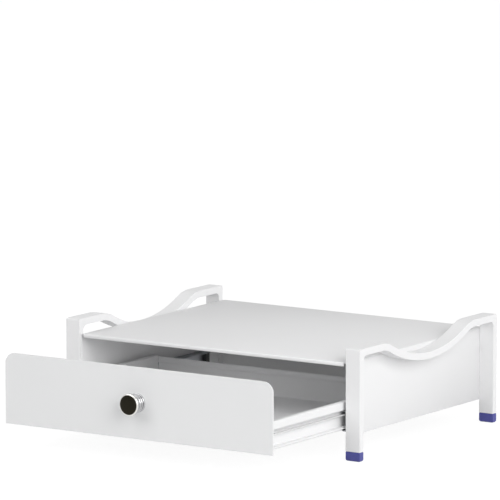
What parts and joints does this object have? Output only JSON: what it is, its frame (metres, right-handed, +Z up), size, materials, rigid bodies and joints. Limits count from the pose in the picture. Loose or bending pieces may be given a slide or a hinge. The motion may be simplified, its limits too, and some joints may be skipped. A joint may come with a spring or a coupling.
{
  "type": "pod drawer stand",
  "caption": "Low steel stand with a wide flat shelf, wave-shaped side rails, blue-capped legs and a shallow drawer with a round knob on ball-bearing slides.",
  "frame": {"origin": "on the floor, at the middle of the four feet", "axes": "+X to the right seen from the front, +Y from the front to the back, +Z up; the drawer opens towards -Y"},
  "size_m": [0.47, 0.5447, 0.15],
  "materials": {
    "white_powder_coat": "fine-textured white powder coat on steel",
    "blue_cap": "moulded indigo plastic",
    "knob_nickel": "polished nickel",
    "zinc_slide": "zinc-plated rolled steel",
    "cage_steel": "dull pressed steel",
    "ball_steel": "polished bearing steel",
    "zinc_fastener": "zinc-plated steel",
    "black_plastic": "moulded black plastic"
  },
  "bodies": {
    "stand": {"shell": "white_powder_coat", "back_panel": "white_powder_coat", "side_frame_left": "white_powder_coat", "side_frame_right": "white_powder_coat", "foot_cap_front_left": "blue_cap", "foot_cap_front_right": "blue_cap", "foot_cap_rear_left": "blue_cap", "foot_cap_rear_right": "blue_cap", "frame_screws_left": "zinc_fastener", "frame_screws_right": "zinc_fastener", "cabinet_member_left": "zinc_slide", "cabinet_member_right": "zinc_slide", "cabinet_rivets_left": "zinc_fastener", "cabinet_rivets_right": "zinc_fastener", "slide_buffer_left": "black_plastic", "slide_buffer_right": "black_plastic"},
    "drawer": {"drawer_tray": "white_powder_coat", "drawer_front": "white_powder_coat", "drawer_member_left": "white_powder_coat", "drawer_member_right": "white_powder_coat", "drawer_rivets_left": "white_powder_coat", "drawer_rivets_right": "white_powder_coat", "front_studs": "zinc_fastener", "front_nuts": "zinc_fastener", "knob_body": "knob_nickel", "knob_backplate": "knob_nickel", "knob_screw": "zinc_fastener", "knob_washer": "zinc_fastener"},
    "ball_cage_left": {"ball_cage_left": "cage_steel", "slide_balls_left": "ball_steel"},
    "ball_cage_right": {"ball_cage_right": "cage_steel", "slide_balls_right": "ball_steel"}
  },
  "joints": [
    {"name": "drawer_slide", "type": "slide", "parent": "stand", "child": "drawer", "axis": [0, -1, 0], "range_m": [-0.173, 0.052]},
    {"name": "ball_cage_left_slide", "type": "slide", "parent": "stand", "child": "ball_cage_left", "axis": [0, -1, 0], "range_m": [-0.0866, 0.0261]},
    {"name": "ball_cage_right_slide", "type": "slide", "parent": "stand", "child": "ball_cage_right", "axis": [0, -1, 0], "range_m": [-0.0866, 0.0261]}
  ],
  "couplings": [
    {"joint": "ball_cage_left_slide", "follows": "drawer_slide", "ratio": 0.5},
    {"joint": "ball_cage_right_slide", "follows": "drawer_slide", "ratio": 0.5}
  ]
}
